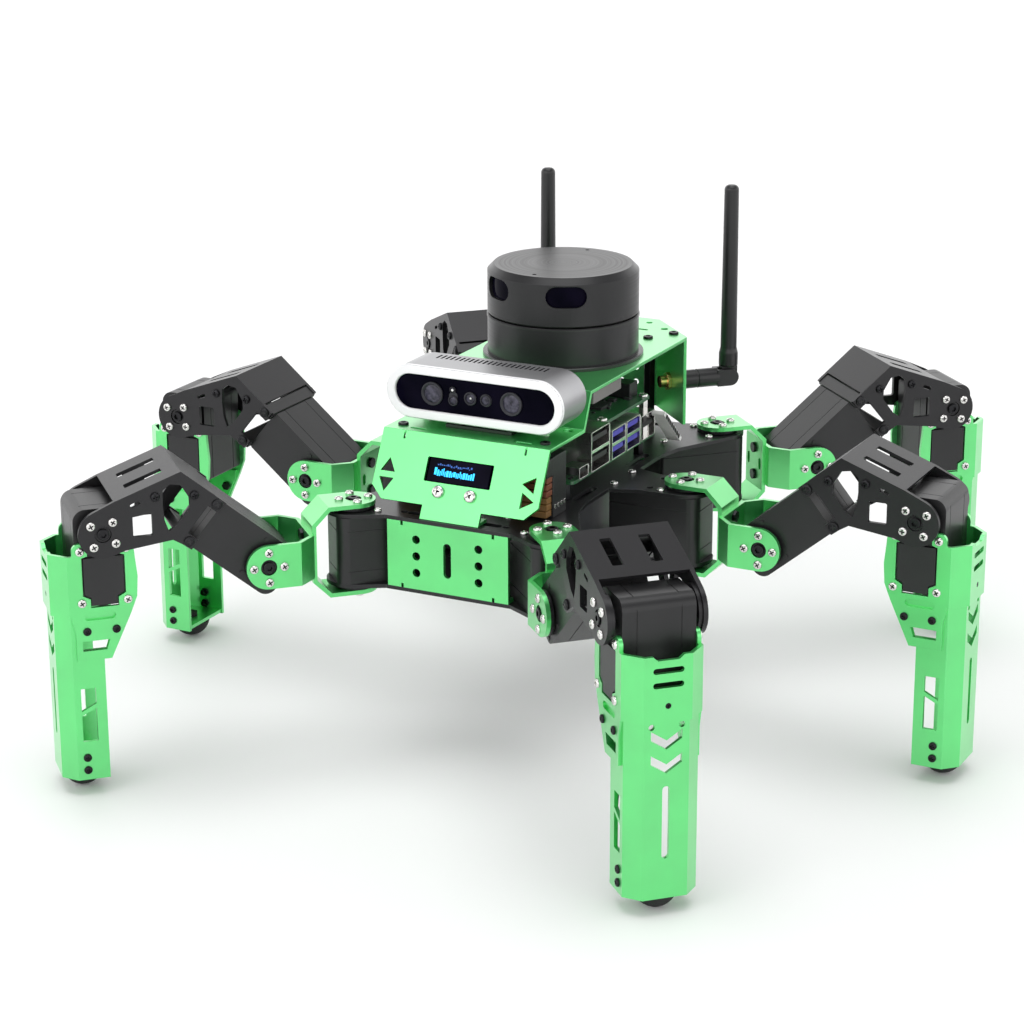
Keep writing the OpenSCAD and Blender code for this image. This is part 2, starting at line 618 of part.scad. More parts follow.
module oval_window(turn) rotate([0, 0, turn]) translate([lidar_d / 2, 0, 0])
    along_x(16) polygon(slot(19.6, 10.2));
module lidar_base() color("dimgray") translate([0, lidar_y, 0]) {
    difference() {
        union() {
            translate([0, 0, deck_z]) cylinder(r = lidar_flange_r, h = 1.5, $fn = 96);
            translate([0, 0, deck_z]) cylinder(r = lidar_d / 2, h = lidar_seam - gap - deck_z, $fn = 96);
        }
        translate([0, 0, deck_z - 1]) cylinder(r = 9, h = 8);
    }
    translate([0, 0, lidar_seam - 2]) cylinder(r = 10, h = 10);
}
module lidar_head() color("dimgray") translate([0, lidar_y, 0]) difference() {
    rotate_extrude($fn = 96) polygon([[0, lidar_seam], [lidar_d / 2 - 0.8, lidar_seam],
        [lidar_d / 2, lidar_seam + 0.8], [lidar_d / 2, lidar_top - 3],
        [lidar_d / 2 - 3, lidar_top], [0, lidar_top]]);
    translate([0, 0, lidar_seam - 1]) cylinder(r = 10 + run_fit, h = 10);
    // hollow for the scanning optics, seen through the two windows
    translate([0, 0, lidar_seam + 9.6]) difference() {
        cylinder(r = lidar_d / 2 - 5, h = 10.6, $fn = 96);
        cylinder(r = 12, h = 30, center = true);
    }
    translate([0, 0, lidar_seam + 14.9]) for (a = [-62, -125]) oval_window(a);
    for (s = [-1, 1]) translate([-1, s * 29, lidar_top]) cylinder(r = 1, h = 2.4, center = true);
}

// ---------- antennas ----------

// frame of one antenna: x out along the diagonal, origin on the corner wall
module on_antenna(side) translate([side * wall_mid[0], wall_mid[1], antenna_z])
    rotate([0, 0, side > 0 ? 45 : 135]) children();
module lying(r, x0, x1, sides = 48)
    translate([x0, 0, 0]) rotate([0, 90, 0]) cylinder(r = r, h = x1 - x0, $fn = sides);
module antenna_connectors() color("goldenrod") for (s = [-1, 1]) on_antenna(s) {
    lying(3, -7, 9.5);
    lying(4.6, 0, 2, 6);
    lying(4.6, -deck_t - 2, -deck_t, 6);
}
module antenna_elbow(side) color("dimgray") on_antenna(side) difference() {
    union() {
        lying(elbow_r, 4, 12);
        lying(elbow_r - 0.5, 12, 13);
        lying(elbow_r, 13, fold_out - 6);
        both_sides(tongue_t / 2 + gap, 2) polygon(concat(
            [[fold_out - 7, -4.2]], arc([fold_out, 0], 4.2, -90, 90, 12), [[fold_out - 7, 4.2]]));
        translate([fold_out, 0, 0]) rotate([90, 0, 0])
            cylinder(r = pin_r, h = tongue_t + 2 * gap + 4, center = true);
    }
    lying(3 + run_fit, 3, 10.5);
}
module antenna_stalk(side) color("dimgray") on_antenna(side) translate([fold_out, 0, 0])
    difference() {
        union() {
            across(tongue_t) polygon(concat(arc([0, 0], 4.2, 180, 360, 16), [[4.2, 8], [-4.2, 8]]));
            rotate_extrude() polygon(concat(
                [[0, 5.4], [4.4, 5.4], [4.8, 6], [4.8, 12], [4.1, 15]],
                arc([1.2, stalk_l - 2.4], 2.4, 0, 90, 6), [[0, stalk_l]]));
        }
        rotate([90, 0, 0]) cylinder(r = pin_r + run_fit, h = 3 * tongue_t, center = true);
    }

// ---------- assembly ----------

chassis_top_plate();
chassis_bottom_plate();
end_panels();
hip_servos();
upper_deck();
deck_hardware();
computer_board();
battery_pack();
display_module();
camera_mount();
depth_camera();
lidar_base();
lidar_head();
antenna_connectors();
antenna_elbow(1);  // antenna_left_elbow
antenna_elbow(-1);  // antenna_right_elbow
antenna_stalk(1);  // antenna_left
antenna_stalk(-1);  // antenna_right
for (leg = LEGS) {
    on_leg(leg) coxa_bracket();
    on_leg(leg) coxa_horns();
    on_leg(leg) femur_servo();
    on_leg(leg) femur_frame();
    on_leg(leg) knee_servo();
    on_leg(leg) tibia_shell();
    on_leg(leg) foot();
}
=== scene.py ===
"""Looks for the six-legged walking robot: materials, rounded edges, screws, sockets and lenses.

Lengths are in metres unless a name ends in _mm, and the small part drawings below are in
millimetres, scaled by MM when they are placed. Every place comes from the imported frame.
"""

import json
import math
import random

import bmesh
import bpy
from mathutils import Euler, Matrix, Vector


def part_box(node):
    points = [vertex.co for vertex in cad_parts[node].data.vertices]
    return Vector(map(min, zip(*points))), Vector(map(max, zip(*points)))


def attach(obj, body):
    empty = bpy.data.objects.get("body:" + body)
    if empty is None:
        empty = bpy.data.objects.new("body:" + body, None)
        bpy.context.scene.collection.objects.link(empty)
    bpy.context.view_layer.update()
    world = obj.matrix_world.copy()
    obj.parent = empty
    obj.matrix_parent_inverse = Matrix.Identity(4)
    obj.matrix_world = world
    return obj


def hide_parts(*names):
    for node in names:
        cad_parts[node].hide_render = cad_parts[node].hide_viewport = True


MM = 0.001
LEGS = ["front_left", "mid_left", "rear_left", "front_right", "mid_right", "rear_right"]

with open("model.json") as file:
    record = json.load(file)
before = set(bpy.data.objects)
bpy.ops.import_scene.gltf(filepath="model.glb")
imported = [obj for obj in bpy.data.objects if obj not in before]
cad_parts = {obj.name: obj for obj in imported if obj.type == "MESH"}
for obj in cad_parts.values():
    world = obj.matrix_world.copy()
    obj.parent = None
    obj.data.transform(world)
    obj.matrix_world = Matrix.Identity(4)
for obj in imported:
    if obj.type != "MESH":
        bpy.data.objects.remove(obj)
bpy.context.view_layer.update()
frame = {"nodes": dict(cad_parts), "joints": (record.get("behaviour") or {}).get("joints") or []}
nodes = frame["nodes"]
joints = {joint["name"]: joint for joint in frame["joints"]}


# ---------- node trees ----------

class Shader:
    """A material with one Principled shader, and short calls for the nodes used here."""

    def __init__(self, name, **values):
        self.material = bpy.data.materials.new(name)
        self.material.use_nodes = True
        self.tree = self.material.node_tree
        self.surface = self.tree.nodes["Principled BSDF"]
        for socket, value in values.items():
            self.surface.inputs[socket.replace("_", " ")].default_value = value
        self.coordinates = self.node("TexCoord").outputs["Object"]

    def node(self, kind, **values):
        made = self.tree.nodes.new("ShaderNode" + kind)
        for name, value in values.items():
            setattr(made, name, value)
        return made

    def link(self, output, socket):
        self.tree.links.new(output, socket)

    def noise(self, scale, detail=2.0, vector=None):
        made = self.node("TexNoise")
        made.inputs["Scale"].default_value = scale
        made.inputs["Detail"].default_value = detail
        self.link(vector or self.coordinates, made.inputs["Vector"])
        return made.outputs["Fac"]

    def stretch(self, x, y, z):
        made = self.node("Mapping")
        made.inputs["Scale"].default_value = (x, y, z)
        self.link(self.coordinates, made.inputs["Vector"])
        return made.outputs["Vector"]

    def rings(self, centre):
        """Coordinates that change only with height and with distance from a vertical axis."""
        moved = self.node("Mapping")
        moved.inputs["Location"].default_value = (-centre[0], -centre[1], 0)
        moved.inputs["Scale"].default_value = (1, 1, 0)
        self.link(self.coordinates, moved.inputs["Vector"])
        radius = self.node("VectorMath", operation="LENGTH")
        self.link(moved.outputs["Vector"], radius.inputs[0])
        height = self.node("SeparateXYZ")
        self.link(self.coordinates, height.inputs[0])
        made = self.node("CombineXYZ")
        self.link(radius.outputs["Value"], made.inputs[0])
        self.link(height.outputs["Z"], made.inputs[1])
        return made.outputs["Vector"]

    def ramp(self, factor, *stops):
        """Colour that follows factor; each stop is (place, colour or grey)."""
        made = self.node("ValToRGB")
        elements = made.color_ramp.elements
        while len(elements) < len(stops):
            elements.new(0.5)
        for element, (place, colour) in zip(elements, stops):
            element.position = place
            grey = not isinstance(colour, (tuple, list))
            element.color = (colour, colour, colour, 1) if grey else (*colour[:3], 1)
        self.link(factor, made.inputs["Fac"])
        return made.outputs["Color"]

    def colour(self, output):
        self.link(output, self.surface.inputs["Base Color"])

    def roughness(self, factor, low, high):
        self.link(self.ramp(factor, (0.3, low), (0.7, high)), self.surface.inputs["Roughness"])

    def bump(self, height, depth, strength=1.0):
        made = self.node("Bump")
        made.inputs["Distance"].default_value = depth
        made.inputs["Strength"].default_value = strength
        self.link(height, made.inputs["Height"])
        previous = self.surface.inputs["Normal"].links
        if previous:
            self.link(previous[0].from_socket, made.inputs["Normal"])
        self.link(made.outputs["Normal"], self.surface.inputs["Normal"])


def shade(colour, by):
    return tuple(min(1.0, c * by) for c in colour[:3])


def blasted(name, colour, roughness, grain=2600, spread=0.08, **values):
    """Bead-blasted and anodised metal, or fine moulded plastic: even colour, tiny grain."""
    made = Shader(name, **values)
    cloud = made.noise(38, 3)
    fine = made.noise(grain, 1)
    made.colour(made.ramp(cloud, (0.3, shade(colour, 1 - spread)), (0.7, shade(colour, 1 + spread))))
    made.roughness(fine, roughness * 0.86, roughness * 1.14)
    made.bump(fine, 0.012 * MM, 0.55)
    return made


def green_sheet():
    made = blasted("green_anodised", (0.05, 0.66, 0.13), 0.33, Metallic=0.8, Coat_Weight=1.0,
                   Coat_Roughness=0.3, Coat_IOR=2.05)
    handling = made.noise(9, 4, made.stretch(1, 1, 2.5))
    made.bump(handling, 0.05 * MM, 0.12)
    return made.material


def green_edge():
    made = blasted("green_edge", (0.1, 0.75, 0.2), 0.26, Metallic=0.8, Coat_Weight=1.0,
                   Coat_Roughness=0.2, Coat_IOR=2.05)
    return made.material


def black_sheet():
    made = blasted("black_anodised", (0.014, 0.0136, 0.015), 0.32, Metallic=0.3,
                   Specular_IOR_Level=0.5)
    return made.material


def black_edge():
    return blasted("black_edge", (0.06, 0.06, 0.064), 0.26, Metallic=0.7).material


def servo_case():
    made = blasted("servo_black", (0.016, 0.016, 0.0168), 0.36, grain=3400, spread=0.14,
                   Metallic=0.3, Specular_IOR_Level=0.55)
    made.bump(made.noise(700, 3), 0.02 * MM, 0.3)
    return made.material


def horn_metal():
    made = blasted("horn_black", (0.022, 0.022, 0.024), 0.3, Metallic=0.7)
    return made.material


def steel(name="nickel_steel", colour=(0.72, 0.71, 0.69), roughness=0.24):
    made = blasted(name, colour, roughness, grain=4200, spread=0.1, Metallic=1.0)
    made.bump(made.noise(900, 4, made.stretch(1, 6, 1)), 0.01 * MM, 0.4)
    return made.material


def rubber():
    made = blasted("foot_rubber", (0.016, 0.016, 0.017), 0.72, grain=1500, spread=0.2,
                   Specular_IOR_Level=0.35)
    made.bump(made.noise(420, 4), 0.06 * MM, 0.5)
    return made.material


def antenna_plastic():
    made = blasted("antenna_plastic", (0.008, 0.008, 0.009), 0.34, grain=2400, spread=0.15)
    made.bump(made.noise(150, 2, made.stretch(1, 1, 12)), 0.03 * MM, 0.2)
    return made.material


def camera_shell():
    made = blasted("camera_aluminium", (0.36, 0.36, 0.37), 0.36, grain=3000, spread=0.05,
                   Metallic=0.85)
    return made.material


def camera_rim():
    return blasted("camera_rim", (0.86, 0.86, 0.87), 0.42, grain=3000, spread=0.03,
                   Metallic=0.25).material


def window_black():
    made = Shader("window_black", Roughness=0.06, Specular_IOR_Level=0.02)
    cloud = made.noise(60, 2)
    made.colour(made.ramp(cloud, (0.35, (0.001, 0.001, 0.004)), (0.7, (0.004, 0.003, 0.01))))
    return made.material


def lens_glass():
    made = Shader("lens_glass", Roughness=0.1, Specular_IOR_Level=0.3)
    # dark glass mottled with lighter blue-grey: the lighter mottling is painted reflection
    cloud = made.noise(400, 2)
    made.colour(made.ramp(cloud, (0.35, (0.012, 0.012, 0.02)), (0.65, (0.07, 0.066, 0.095))))
    return made.material


def lens_barrel():
    made = blasted("lens_barrel", (0.03, 0.03, 0.036), 0.38, grain=5000, Metallic=0.5)
    return made.material


def lidar_case(centre, name="lidar_case", colour=(0.02, 0.02, 0.021), roughness=0.34):
    made = Shader(name, Metallic=0.4)
    rings = made.rings(centre)
    turned = made.noise(1300, 2, rings)
    cloud = made.noise(30, 3)
    made.colour(made.ramp(cloud, (0.3, shade(colour, 0.88)), (0.7, shade(colour, 1.12))))
    made.roughness(turned, roughness * 0.85, roughness * 1.15)
    made.bump(turned, 0.018 * MM, 0.6)
    return made.material


def board_green():
    """Solder mask with copper tracks showing through as a faint raised pattern."""
    made = Shader("board_green", Roughness=0.34, Coat_Weight=0.5, Coat_Roughness=0.2)
    tracks = made.node("TexBrick")
    tracks.inputs["Scale"].default_value = 260
    tracks.inputs["Mortar Size"].default_value = 0.06
    tracks.inputs["Color1"].default_value = (0.008, 0.05, 0.022, 1)
    tracks.inputs["Color2"].default_value = (0.012, 0.075, 0.03, 1)
    tracks.inputs["Mortar"].default_value = (0.03, 0.14, 0.05, 1)
    made.link(made.coordinates, tracks.inputs["Vector"])
    made.colour(tracks.outputs["Color"])
    made.bump(tracks.outputs["Fac"], 0.03 * MM, 0.4)
    return made.material


def moulded(name, colour, roughness=0.45, grain=2200):
    return blasted(name, colour, roughness, grain=grain, spread=0.12).material


def battery_wrap():
    made = Shader("battery_wrap", Roughness=0.38, Coat_Weight=0.3, Coat_Roughness=0.25)
    creases = made.noise(45, 5, made.stretch(1, 3, 1))
    # darker where the creases sink: painted shade in the creases, over the wrap's own grey
    made.colour(made.ramp(creases, (0.3, (0.035, 0.036, 0.04)), (0.7, (0.06, 0.062, 0.066))))
    made.bump(creases, 0.25 * MM, 0.5)
    return made.material


def glowing(name, colour, strength):
    made = Shader(name, Roughness=0.3, Emission_Strength=strength)
    fine = made.noise(1800, 1)
    dots = made.ramp(fine, (0.3, shade(colour, 0.8)), (0.7, colour))
    made.colour(dots)
    made.link(dots, made.surface.inputs["Emission Color"])
    return made.material


LIDAR_CENTRE = (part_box("lidar_base")[0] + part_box("lidar_base")[1]) / 2
GREEN = green_sheet()
GREEN_EDGE = green_edge()
BLACK = black_sheet()
BLACK_EDGE = black_edge()
SERVO = servo_case()
HORN = horn_metal()
STEEL = steel()
BLACK_STEEL = steel("black_steel", (0.03, 0.03, 0.032), 0.32)
BRASS = steel("gold_plated_brass", (0.85, 0.58, 0.24), 0.22)
RUBBER = rubber()
ANTENNA = antenna_plastic()
CAMERA = camera_shell()
CAMERA_RIM = camera_rim()
WINDOW = window_black()
LENS = lens_glass()
BARREL = lens_barrel()
LIDAR = lidar_case(LIDAR_CENTRE)
LIDAR_FOOT = lidar_case(LIDAR_CENTRE, "lidar_foot", (0.028, 0.03, 0.029), 0.28)
BOARD = board_green()
BATTERY = battery_wrap()
PLASTIC = moulded("black_plastic", (0.012, 0.012, 0.013))
USB_BLUE = moulded("usb_blue", (0.07, 0.055, 0.42), 0.4)
WHITE_PLASTIC = moulded("white_plastic", (0.7, 0.7, 0.68), 0.5)
OCHRE = moulded("ochre_wrap", (0.2, 0.1, 0.025), 0.5)
COPPER = moulded("copper_wrap", (0.16, 0.045, 0.02), 0.45)
GREY = moulded("grey_plastic", (0.17, 0.155, 0.155), 0.5)
CHIP = moulded("chip_grey", (0.02, 0.02, 0.022), 0.6)
GLYPH = glowing("glyph_cyan", (0.01, 0.42, 0.8), 1.6)
GLYPH_DIM = glowing("glyph_blue", (0.01, 0.08, 0.35), 0.8)


# ---------- mesh building ----------

def circle(radius, sides=24):
    return [(radius * math.cos(2 * math.pi * i / sides), radius * math.sin(2 * math.pi * i / sides))
            for i in range(sides)]


def cross(reach, half, sides=24):
    """Plus-shaped outline with one point in each of the directions of a circle's points."""
    points = []
    for i in range(sides):
        angle = 360 * i / sides
        fold = abs((angle + 45) % 90 - 45)
        along = math.degrees(math.atan2(half, reach))
        radius = (reach / math.cos(math.radians(fold)) if fold <= along + 0.01
                  else half / math.sin(math.radians(fold)))
        points.append((radius * math.cos(math.radians(angle)),
                       radius * math.sin(math.radians(angle))))
    return points


def hexagon(radius, sides=24):
    points = []
    for i in range(sides):
        angle = 360 * i / sides
        fold = abs((angle + 30) % 60 - 30)
        across = radius * math.cos(math.radians(30)) / math.cos(math.radians(30 - fold))
        points.append((across * math.cos(math.radians(angle)),
                       across * math.sin(math.radians(angle))))
    return points


def rounded(width, height, radius, steps=5):
    """Rectangle with round corners about the origin, anticlockwise."""
    points = []
    for quarter, (sx, sy) in enumerate([(1, 1), (-1, 1), (-1, -1), (1, -1)]):
        for i in range(steps + 1):
            angle = math.radians(90 * (quarter + i / steps))
            points.append((sx * (width / 2 - radius) + radius * math.cos(angle),
                           sy * (height / 2 - radius) + radius * math.sin(angle)))
    return points


class Solid:
    """Collects closed shapes, drawn in millimetres and placed by a matrix, into one mesh."""

    def __init__(self):
        self.points, self.faces = [], []

    def strip(self, low, high, count):
        """Quads between two outlines, whose first points are low and high."""
        for i in range(count):
            j = (i + 1) % count
            self.faces.append((low + i, low + j, high + j, high + i))

    def skin(self, rings, place):
        """Open skin over outlines of equal length. Gives the first points of its two ends."""
        start, count = len(self.points), len(rings[0][0])
        for outline, height in rings:
            for x, y in outline:
                self.points.append(place @ (Vector((x, y, height)) * MM))
        last = start + (len(rings) - 1) * count
        for low in range(start, last, count):
            self.strip(low, low + count, count)
        return start, last

    def rings(self, rings, place):
        """Skin with flat ends. A ring is (outline, height)."""
        start, last = self.skin(rings, place)
        count = len(rings[0][0])
        self.faces.append(tuple(start + i for i in reversed(range(count))))
        self.faces.append(tuple(last + i for i in range(count)))

    def band(self, rings, place):
        """Skin whose last outline joins the first again, as on a torus."""
        start, last = self.skin(rings, place)
        self.strip(last, start, len(rings[0][0]))

    def prism(self, outline, low, high, place):
        self.rings([(outline, low), (outline, high)], place)

    def box(self, low, high, place):
        (x0, y0, z0), (x1, y1, z1) = low, high
        self.prism([(x0, y0), (x1, y0), (x1, y1), (x0, y1)], z0, z1, place)

    def make(self, name, material, body, bevel_mm=0.0):
        mesh = bpy.data.meshes.new(name)
        mesh.from_pydata([tuple(p) for p in self.points], [], self.faces)
        mesh.materials.append(material)
        for polygon in mesh.polygons:
            polygon.use_smooth = True
        mesh.set_sharp_from_angle(angle=math.radians(32))
        piece = bpy.data.objects.new(name, mesh)
        bpy.context.scene.collection.objects.link(piece)
        if bevel_mm:
            soften(piece, bevel_mm)
        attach(piece, body)
        return piece


def soften(piece, width_mm, segments=2, edge_material=None):
    """Rounds the hard edges. edge_material, an index, goes on the rounded strips."""
    bevel = piece.modifiers.new("edges", "BEVEL")
    bevel.width = width_mm * MM
    bevel.segments = segments
    bevel.limit_method = "ANGLE"
    bevel.angle_limit = math.radians(28)
    bevel.miter_outer = "MITER_ARC"
    if edge_material is not None:
        bevel.material = edge_material
    normals = piece.modifiers.new("normals", "WEIGHTED_NORMAL")
    normals.keep_sharp = True
    return bevel


def at(x=0.0, y=0.0, z=0.0):
    return Matrix.Translation(Vector((x, y, z)) * MM)


def turn(axis, degrees):
    return Matrix.Rotation(math.radians(degrees), 4, axis)


def pan_head(solid, place, radius=2.5, height=1.75, recess=0.68):
    """Domed screw head with a cross recess, standing on the local plane z = 0."""
    crown = radius * 0.62
    reach, half = radius * 0.58, radius * 0.58 * math.tan(math.radians(15))
    top = height
    solid.rings([
        (circle(radius * 0.97), 0), (circle(radius), height * 0.12), (circle(radius), height * 0.42),
        (circle(radius * 0.93), height * 0.72), (circle(radius * 0.8), height * 0.9),
        (circle(crown), top), (cross(reach, half), top),
        (cross(reach * 0.8, half * 0.8), top - recess * 0.75),
        (cross(reach * 0.3, half * 0.45), top - recess)], place)


def socket_head(solid, place, radius=2.6, height=1.0):
    """Low round bolt head with a hexagonal recess."""
    solid.rings([
        (circle(radius * 0.98), 0), (circle(radius), height * 0.3), (circle(radius * 0.96), height * 0.8),
        (circle(radius * 0.84), height), (hexagon(radius * 0.52), height),
        (hexagon(radius * 0.5), height * 0.25)], place)


def hex_nut(solid, place, radius=2.9, height=1.6, bore=1.5):
    solid.rings([
        (hexagon(radius * 0.94), 0), (hexagon(radius), height * 0.14),
        (hexagon(radius), height * 0.86), (hexagon(radius * 0.94), height),
        (circle(bore), height), (circle(bore), height * 0.55)], place)


# ---------- the CAD nodes ----------

def finish_node(name, materials, **values):
    return finish(nodes[name], materials, **values)


def finish(piece, materials, choose=None, width_mm=0.22, segments=2, edge=None, clamp=True):
    """Gives a piece its materials and rounded edges. choose(centre, normal) picks one."""
    mesh = piece.data
    mesh.materials.clear()
    for material in materials:
        mesh.materials.append(material)
    for polygon in mesh.polygons:
        polygon.use_smooth = True
        polygon.material_index = choose(polygon.center, polygon.normal) if choose else 0
    if edge:
        mesh.materials.append(edge)
    weld = piece.modifiers.new("weld", "WELD")
    weld.merge_threshold = 0.002 * MM
    flat = piece.modifiers.new("flat", "DECIMATE")
    flat.decimate_type = "DISSOLVE"
    flat.angle_limit = math.radians(0.6)
    flat.delimit = {"MATERIAL"}
    bevel = soften(piece, width_mm, segments, len(materials) if edge else None)
    bevel.use_clamp_overlap = clamp
    return piece


# where the camera's dark faces lie, as (low, high) along x, y and z
CAMERA_RECESS_MM = ((-41.5, 41.5), (-71.3, -69.7), (162.5, 180.5))
# faces in the cooling slots, darkened as painted shade inside them
CAMERA_SLOTS_MM = ((-29, 29), (-56.1, -49.5), (182.8, 183.85))


def camera_dark(centre, normal):
    """1 for the camera's recessed face, its lens discs and its cooling slots, else 0. In the slots the
    dark material is painted shade.
    """
    for space in (CAMERA_RECESS_MM, CAMERA_SLOTS_MM):
        if all(low < value < high for value, (low, high) in zip(centre / MM, space)):
            return 1
    return 0


def dress_nodes():
    for leg in LEGS:
        finish_node(leg + "_coxa_bracket", [GREEN], edge=GREEN_EDGE)
        finish_node(leg + "_coxa_horns", [HORN], width_mm=0.15)
        finish_node(leg + "_femur_servo", [SERVO], width_mm=0.3)
        finish_node(leg + "_femur_frame", [BLACK], width_mm=0.15, edge=BLACK_EDGE)
        finish_node(leg + "_knee_servo", [SERVO], width_mm=0.3)
        finish_node(leg + "_tibia_shell", [GREEN], edge=GREEN_EDGE)
        finish_node(leg + "_foot", [RUBBER], width_mm=0.15)
    for name in ("chassis_top_plate", "chassis_bottom_plate"):
        finish_node(name, [BLACK], width_mm=0.2, edge=BLACK_EDGE)
    finish_node("end_panels", [GREEN], width_mm=0.2, edge=GREEN_EDGE)
    finish_node("upper_deck", [GREEN], width_mm=0.15, edge=GREEN_EDGE, clamp=False)
    finish_node("hip_servos", [SERVO], width_mm=0.3)
    finish_node("deck_hardware", [BLACK_STEEL], width_mm=0.15)
    finish_node("computer_board", [BOARD], width_mm=0.1)
    finish_node("battery_pack", [BATTERY], width_mm=0.4)
    finish_node("display_module", [WINDOW], width_mm=0.15)
    finish_node("camera_mount", [BLACK], width_mm=0.2)
    finish_node("depth_camera", [CAMERA, BARREL], choose=camera_dark, width_mm=0.3)
    finish_node("lidar_base", [LIDAR], width_mm=0.3)
    finish_node("lidar_head", [LIDAR], width_mm=0.25)
    finish_node("antenna_connectors", [BRASS], width_mm=0.15)
    for side in ("left", "right"):
        finish_node(f"antenna_{side}_elbow", [ANTENNA], width_mm=0.2)
        finish_node(f"antenna_{side}", [ANTENNA], width_mm=0.2)


# ---------- places on the legs ----------

def basis(origin, x_axis, z_axis):
    """Matrix with its origin, x and z axes given, in metres."""
    y_axis = z_axis.cross(x_axis)
    turned = Matrix((x_axis, y_axis, z_axis)).transposed().to_4x4()
    return Matrix.Translation(origin) @ turned


class Leg:
    """Frames at the three joints of a leg: x out along its heading, y to its left, z up."""

    def __init__(self, name):
        self.name = name
        hip, pitch, knee = (Vector(joints[f"{name}_{part}"]["pos_m"])
                            for part in ("yaw", "pitch", "knee"))
        out = (pitch - hip).normalized()
        self.hip = basis(hip, out, Vector((0, 0, 1)))
        self.pitch = basis(pitch, out, Vector((0, 0, 1)))
        self.knee = basis(knee, out, Vector((0, 0, 1)))
        reach = knee - pitch
        self.knee_out_mm = reach.dot(out) / MM
        self.knee_up_mm = reach.z / MM


def on_side(frame_of, side, out_mm, up_mm, depth_mm):
    """Place on a flat side of a leg, local z pointing away from the leg."""
    return frame_of @ at(out_mm, side * depth_mm, up_mm) @ turn("X", -90 * side)


def on_level(frame_of, side, out_mm, left_mm, height_mm):
    """Place on a level face, local z pointing up for side 1 and down for side -1."""
    return frame_of @ at(out_mm, left_mm, side * height_mm) @ turn("X", 0 if side > 0 else 180)


def around(radius, turned, count=4):
    for i in range(count):
        angle = math.radians(turned + 360 * i / count)
        yield radius * math.cos(angle), radius * math.sin(angle)


# distances of the leg's flat faces from its middle plane
FORK_MM = 21.8
HORN_BOSS_MM = 21.2
TAB_MM = 17.75
LOW_SHELL_MM = 16.4

# places in the leg's own plane: out along the heading, then up
HORN_SCREWS_MM = 7
KNEE_TURN = 39
FRAME_BOLTS_MM = ((50.5, 38.8), (32.9, 37.8))
SERVO_TILT = math.radians(39.7)
EAR_OUT_MM, EAR_UP_MM = 38.1, 10.4
TAB_SCREWS_MM = ((10.3, -8.2), (-10.3, -8.2), (10.3, -32.4), (-10.3, -32.4))
SHELL_BOLTS_MM = ((-4.6, -46, TAB_MM), (8.6, -46, TAB_MM),
                  (11.2, -107, LOW_SHELL_MM), (11.2, -113, LOW_SHELL_MM))
SHELL_FRONT_MM = 23.5
FRONT_BOLT_UP_MM = -32
NUT_DEPTH_MM = 3.3

# the floor of the lower shell
FLOOR_LOW_MM, FLOOR_HIGH_MM = -118, -115
SHELL_BEVEL_MM = 32.05
LEAST_EXCESS_MM = 0.5


def horn_screw(solid, place, turned):
    pan_head(solid, place @ turn("Z", turned), 2.1, 1.4, 0.8)


def centre_bolt(solid, place):
    socket_head(solid, place, 2.75, 1.3)


def trimmed_shell(leg):
    """Stands for the tibia's shell, with its floor's corners brought back to the bevels,
    where out + |left| is constant."""
    node = nodes[leg.name + "_tibia_shell"]
    piece = bpy.data.objects.new(leg.name + "_trimmed_shell", node.data.copy())
    bpy.context.scene.collection.objects.link(piece)
    to_leg = leg.knee.inverted()
    mesh = bmesh.new()
    mesh.from_mesh(piece.data)
    for vertex in mesh.verts:
        local = (to_leg @ vertex.co) / MM
        excess = local.x + abs(local.y) - SHELL_BEVEL_MM
        if FLOOR_LOW_MM < local.z < FLOOR_HIGH_MM and excess > LEAST_EXCESS_MM:
            local.x -= excess / 2
            local.y -= math.copysign(excess / 2, local.y)
            vertex.co = leg.knee @ (local * MM)
    bmesh.ops.remove_doubles(mesh, verts=mesh.verts, dist=0.002 * MM)
    bmesh.ops.dissolve_degenerate(mesh, dist=0.01 * MM, edges=mesh.edges)
    mesh.to_mesh(piece.data)
    mesh.free()
    finish(piece, [GREEN], edge=GREEN_EDGE)
    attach(piece, leg.name + "_tibia")
    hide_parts(leg.name + "_tibia_shell")


def coxa_fasteners(leg, side, screws, bolts):
    for x, y in around(HORN_SCREWS_MM, 0):
        horn_screw(screws, on_level(leg.hip, side, x, y, FORK_MM), 20)
        horn_screw(screws, on_side(leg.pitch, side, x, y, FORK_MM), 30)
    centre_bolt(bolts, on_level(leg.hip, side, 0, 0, HORN_BOSS_MM))
    centre_bolt(bolts, on_side(leg.pitch, side, 0, 0, HORN_BOSS_MM))


def femur_fasteners(leg, side, screws, bolts):
    out, up = leg.knee_out_mm, leg.knee_up_mm
    for i, (x, z) in enumerate(around(HORN_SCREWS_MM, KNEE_TURN)):
        horn_screw(screws, on_side(leg.pitch, side, out + x, up + z, FORK_MM), 25 + 31 * i)
    centre_bolt(bolts, on_side(leg.pitch, side, out, up, HORN_BOSS_MM))
    for x, z in FRAME_BOLTS_MM:
        spot = on_side(leg.pitch, side, x, z, FORK_MM)
        pan_head(bolts, spot @ turn("Z", 15), 2.1, 1.3, 0.8)
        hex_nut(bolts, on_side(leg.pitch, side, x, z, FORK_MM - NUT_DEPTH_MM), 2.3, 1.3, 1.1)
        bolts.prism(circle(1.1), -4, 0.3, spot)
    for v in (-EAR_UP_MM, EAR_UP_MM):
        x = EAR_OUT_MM * math.cos(SERVO_TILT) - v * math.sin(SERVO_TILT)
        z = EAR_OUT_MM * math.sin(SERVO_TILT) + v * math.cos(SERVO_TILT)
        spot = on_side(leg.pitch, side, x, z, FORK_MM)
        pan_head(bolts, spot @ turn("Z", 10), 2.55, 1.15, 0.7)


